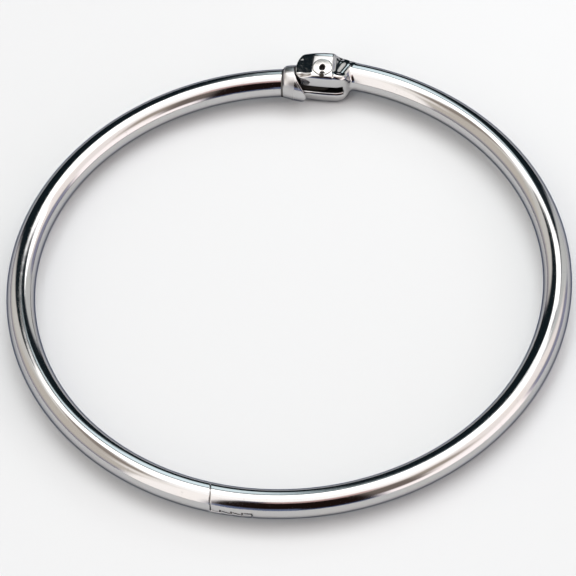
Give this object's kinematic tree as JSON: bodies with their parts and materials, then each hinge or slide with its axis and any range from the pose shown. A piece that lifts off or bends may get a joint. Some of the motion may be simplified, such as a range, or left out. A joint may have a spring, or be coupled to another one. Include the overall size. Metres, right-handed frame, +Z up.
{
  "type": "binder ring",
  "caption": "Hinged binder ring of plated steel wire: two half rings turn on a rivet and hook together at the far side.",
  "frame": {"origin": "On the rivet's axis, at the flat underside of the fork's lower ear", "axes": "+Z up the rivet towards its set head; the straight hinge lies along X with the fork half on +X and the tongue half on -X; the ring and its snap are on the -Y side"},
  "size_m": [0.0846, 0.0851, 0.0069],
  "materials": {
    "nickel_plate": "polished",
    "rivet_nickel": "polished"
  },
  "bodies": {
    "tongue_half": {"tongue_arm": "nickel_plate"},
    "rivet": {"hinge_rivet": "rivet_nickel"},
    "fork_half": {"fork_arm": "nickel_plate"}
  },
  "joints": [
    {"name": "side_play", "type": "hinge", "parent": "tongue_half", "child": "rivet", "pos_m": [0, 0, 0.0033], "axis": [-1, 0, 0], "range_deg": [0, 3]},
    {"name": "swing", "type": "hinge", "parent": "rivet", "child": "fork_half", "pos_m": [0, 0, 0.0033], "axis": [0, 0, 1], "range_deg": [0, 108]}
  ]
}
